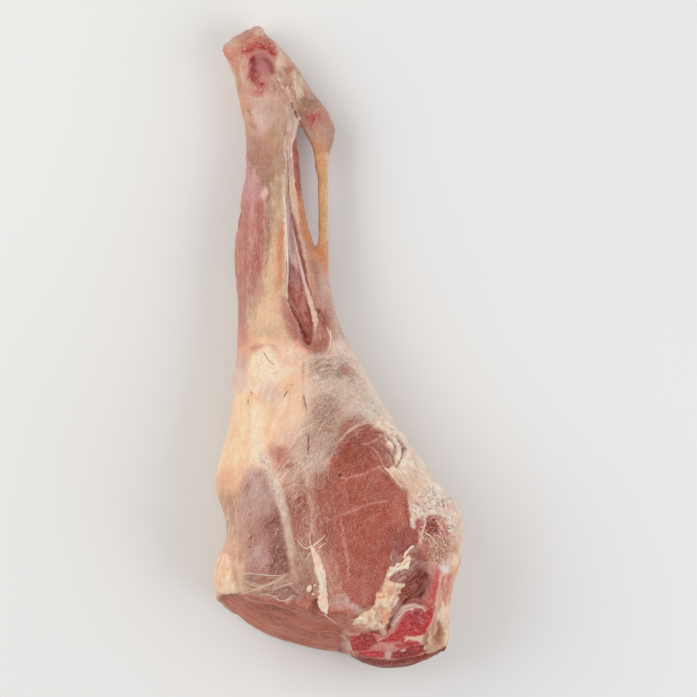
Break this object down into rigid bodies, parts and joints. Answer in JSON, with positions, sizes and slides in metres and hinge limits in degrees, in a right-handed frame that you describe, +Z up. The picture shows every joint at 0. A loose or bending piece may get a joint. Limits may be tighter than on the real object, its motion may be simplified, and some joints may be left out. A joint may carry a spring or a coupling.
{
  "type": "raw leg of lamb",
  "caption": "Whole raw leg of lamb on the bone, lying on its outer side, with hock, free heel tendon, lean and fat on the inner side and sawn bone at the rump end.",
  "frame": {"origin": "middle of the part's plan, on the surface it lies on", "axes": "+Y from the rump end to the hock, +Z up out of the inner side of the leg, +X towards the back edge of the thigh"},
  "size_m": [0.1728, 0.4502, 0.1084],
  "materials": {
    "meat": "moist raw meat: rose red lean, cream fat and pale sinew, softly glossy",
    "hip_marrow": "sawn spongy bone, deep red marrow with pale cartilage",
    "hock_joint": "bared joint end, red spongy bone around a smooth mauve hollow"
  },
  "bodies": {
    "root": {"leg_meat": "meat", "hip_bone": "hip_marrow", "hock_bone": "hock_joint"}
  },
  "joints": []
}
